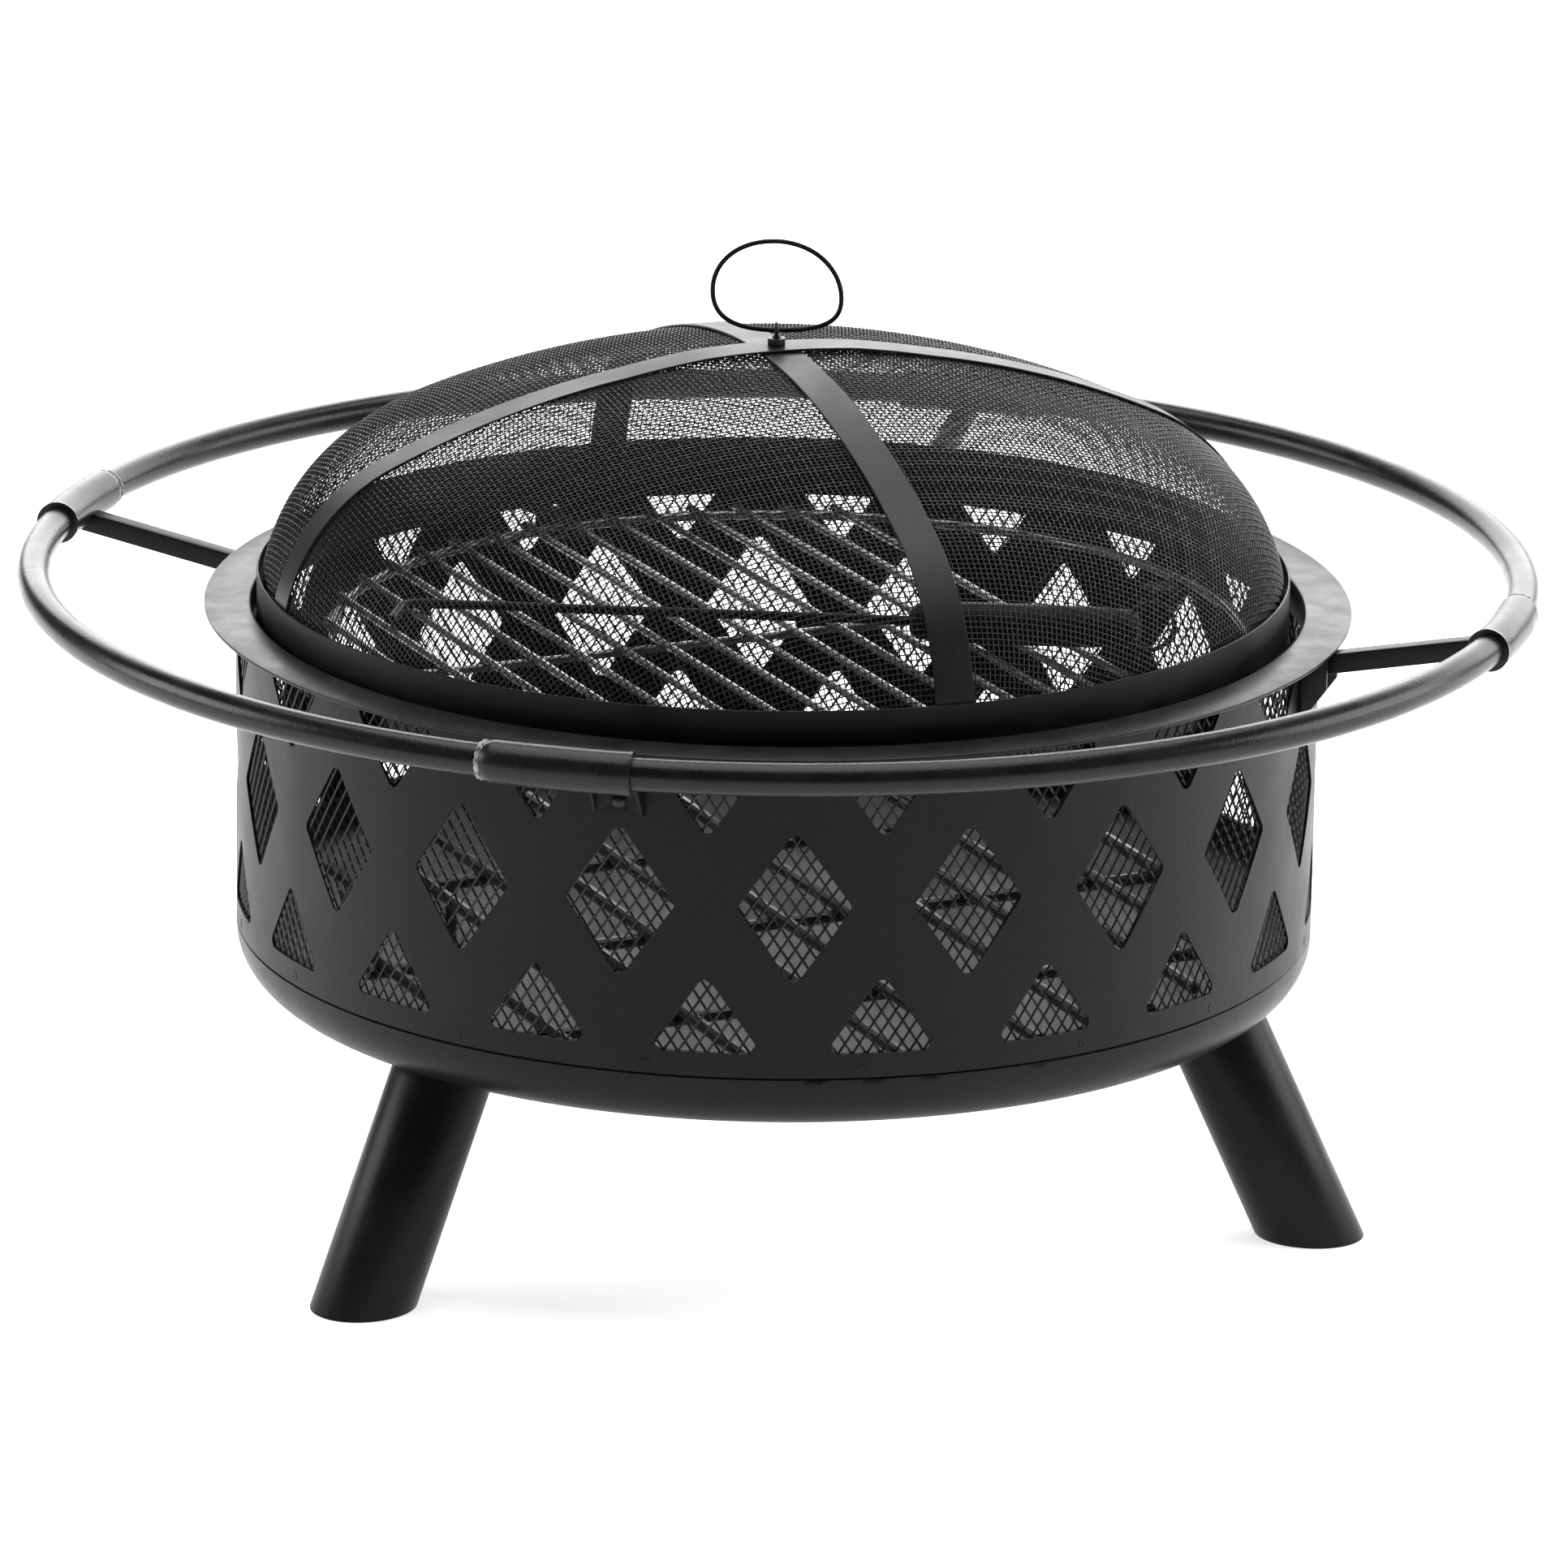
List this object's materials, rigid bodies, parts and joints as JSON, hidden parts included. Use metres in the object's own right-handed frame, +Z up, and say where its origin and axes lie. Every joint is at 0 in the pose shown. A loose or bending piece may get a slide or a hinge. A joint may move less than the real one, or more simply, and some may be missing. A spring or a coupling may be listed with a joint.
{
  "type": "fire pit",
  "caption": "Round outdoor fire pit with a perforated drum, lift-off domed spark screen, ring rail, grates and a poker",
  "frame": {"origin": "on the ground under the middle of the drum, at the centre of the footprint of the ring rail", "axes": "+Z up, -Y towards the front, +X to the right seen from the front"},
  "size_m": [0.9142, 0.9142, 0.592],
  "materials": {
    "drum_paint": "satin black high-temperature paint on sheet steel",
    "liner_paint": "satin black high-temperature paint on expanded steel",
    "pan_paint": "semi-gloss black high-temperature paint on pressed steel",
    "rim_paint": "semi-gloss black high-temperature paint on sheet steel",
    "rail_paint": "semi-gloss black paint on steel tube",
    "sleeve_paint": "semi-gloss black paint on steel tube",
    "arm_paint": "semi-gloss black paint on steel bar",
    "leg_paint": "semi-gloss black paint on steel tube",
    "screen_mesh_paint": "satin black high-temperature paint on woven wire mesh",
    "screen_band_paint": "semi-gloss black high-temperature paint on strip steel",
    "screen_strap_paint": "semi-gloss black high-temperature paint on strip steel",
    "handle_paint": "satin black paint on steel wire",
    "fastener_steel": "black finished steel fasteners",
    "grate_paint": "semi-gloss black heat-proof coating on steel rod",
    "log_grate_paint": "satin black high-temperature paint on steel rod",
    "poker_paint": "satin black paint on steel rod",
    "poker_grip_black": "matt black moulded grip"
  },
  "bodies": {
    "base": {"drum_wall": "drum_paint", "mesh_liner": "liner_paint", "bottom_pan": "pan_paint", "rim_flange": "rim_paint", "screen_rest_1": "rim_paint", "screen_rest_2": "rim_paint", "screen_rest_3": "rim_paint", "screen_rest_4": "rim_paint", "rail_segment_1": "rail_paint", "rail_segment_2": "rail_paint", "rail_segment_3": "rail_paint", "rail_segment_4": "rail_paint", "rail_sleeve_1": "sleeve_paint", "rail_sleeve_2": "sleeve_paint", "rail_sleeve_3": "sleeve_paint", "rail_sleeve_4": "sleeve_paint", "rail_arm_1": "arm_paint", "rail_arm_2": "arm_paint", "rail_arm_3": "arm_paint", "rail_arm_4": "arm_paint", "arm_bracket_1": "arm_paint", "arm_bracket_2": "arm_paint", "arm_bracket_3": "arm_paint", "arm_bracket_4": "arm_paint", "bracket_rivet_1": "fastener_steel", "bracket_rivet_2": "fastener_steel", "bracket_rivet_3": "fastener_steel", "bracket_rivet_4": "fastener_steel", "leg_1": "leg_paint", "leg_2": "leg_paint", "leg_3": "leg_paint", "leg_plate_1": "fastener_steel", "leg_plate_2": "fastener_steel", "leg_plate_3": "fastener_steel", "leg_bolt_1": "fastener_steel", "leg_bolt_2": "fastener_steel", "leg_bolt_3": "fastener_steel"},
    "screen": {"screen_mesh": "screen_mesh_paint", "screen_band": "screen_band_paint", "screen_strap_1": "screen_strap_paint", "screen_strap_2": "screen_strap_paint", "handle_ring": "handle_paint", "handle_eyebolt": "fastener_steel", "handle_nut": "fastener_steel", "handle_washer": "fastener_steel", "handle_locknut": "fastener_steel"},
    "cooking_grate": {"cooking_grate": "grate_paint"},
    "log_grate": {"log_grate": "log_grate_paint"},
    "poker": {"poker_grip": "poker_grip_black", "poker_rod": "poker_paint", "poker_loop": "poker_paint"}
  },
  "joints": [
    {"name": "screen_lift", "type": "slide", "parent": "base", "child": "screen", "axis": [0, 0, 1], "range_m": [0, 0.25]},
    {"name": "cooking_grate_lift", "type": "slide", "parent": "base", "child": "cooking_grate", "axis": [0, 0, 1], "range_m": [0, 0.03]},
    {"name": "log_grate_lift", "type": "slide", "parent": "base", "child": "log_grate", "axis": [0, 0, 1], "range_m": [0, 0.12]},
    {"name": "poker_lift", "type": "slide", "parent": "cooking_grate", "child": "poker", "axis": [0, 0, 1], "range_m": [0, 0.03]}
  ]
}
